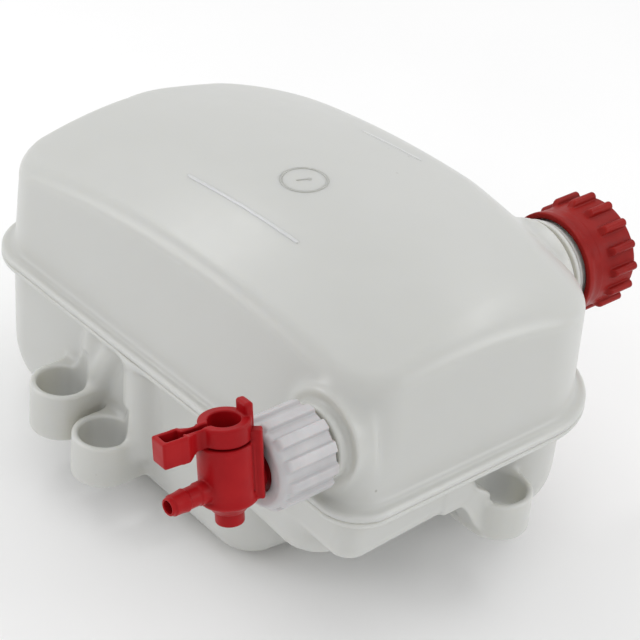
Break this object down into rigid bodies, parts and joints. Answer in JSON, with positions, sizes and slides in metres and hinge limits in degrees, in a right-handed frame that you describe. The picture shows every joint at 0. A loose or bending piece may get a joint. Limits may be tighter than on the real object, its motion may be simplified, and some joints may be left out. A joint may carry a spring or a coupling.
{
  "type": "expansion vessel",
  "caption": "Two-shell plastic expansion vessel with strap lugs, screwed pressure cap and a quarter-turn outlet tap on a union nut.",
  "frame": {"origin": "middle of the middle lug's hole, half way up the lug", "axes": "+X along the tank towards the cap and tap end, +Y towards the filler cap, +Z square to the joint plane, towards the upper shell"},
  "size_m": [0.3165, 0.3136, 0.1725],
  "materials": {
    "tank_plastic": "translucent natural polyethylene, satin",
    "cap_plastic": "moulded red, satin",
    "tap_plastic": "moulded red, slightly glossy",
    "nut_plastic": "moulded white",
    "white_plastic": "moulded white",
    "seal_rubber": "black, matt",
    "spring_steel": "drawn wire",
    "valve_brass": "turned"
  },
  "bodies": {
    "tank": {"upper_shell": "tank_plastic", "lower_shell": "tank_plastic"},
    "cap_insert": {"cap_gasket": "seal_rubber", "valve_housing": "white_plastic", "spring_retainer": "white_plastic", "relief_spring": "spring_steel"},
    "cap": {"filler_cap": "cap_plastic"},
    "relief_valve": {"relief_plate": "white_plastic", "relief_seal": "seal_rubber", "vacuum_spring": "spring_steel"},
    "vacuum_valve": {"vacuum_disc": "valve_brass"},
    "tap": {"tap_body": "tap_plastic", "union_washer": "seal_rubber"},
    "nut": {"union_nut": "nut_plastic"},
    "plug": {"tap_plug": "tap_plastic", "plug_seal_upper": "seal_rubber", "plug_seal_lower": "seal_rubber", "plug_clip": "spring_steel"}
  },
  "joints": [
    {"name": "cap_lift", "type": "slide", "parent": "tank", "child": "cap_insert", "axis": [0, 1, 0], "range_m": [0, 0.012]},
    {"name": "cap_turn", "type": "hinge", "parent": "cap_insert", "child": "cap", "pos_m": [0.099, 0.194, 0.092], "axis": [0, 1, 0], "range_deg": [0, 719]},
    {"name": "relief_lift", "type": "slide", "parent": "cap_insert", "child": "relief_valve", "axis": [0, 1, 0], "range_m": [0, 0.0025], "stiffness_N_per_m": 3000, "springref_m": -0.004, "deforming": ["relief_spring"]},
    {"name": "vacuum_open", "type": "slide", "parent": "relief_valve", "child": "vacuum_valve", "axis": [0, -1, 0], "range_m": [0, 0.0015], "stiffness_N_per_m": 250, "springref_m": -0.002, "deforming": ["vacuum_spring"]},
    {"name": "tap_backoff", "type": "slide", "parent": "tank", "child": "tap", "axis": [0, -1, 0], "range_m": [0, 0.006]},
    {"name": "nut_turn", "type": "hinge", "parent": "tap", "child": "nut", "pos_m": [0.142, 0.0148, 0.0885], "axis": [0, -1, 0], "range_deg": [0, 719]},
    {"name": "tap_turn", "type": "hinge", "parent": "tap", "child": "plug", "pos_m": [0.142, -0.0392, 0.0885], "axis": [-0.1736, 0, 0.9848], "range_deg": [0, 90]}
  ],
  "couplings": [
    {"joint": "cap_lift", "follows": "cap_turn", "m_per_rad": 0.00095493},
    {"joint": "tap_backoff", "follows": "nut_turn", "m_per_rad": 0.00047746}
  ]
}
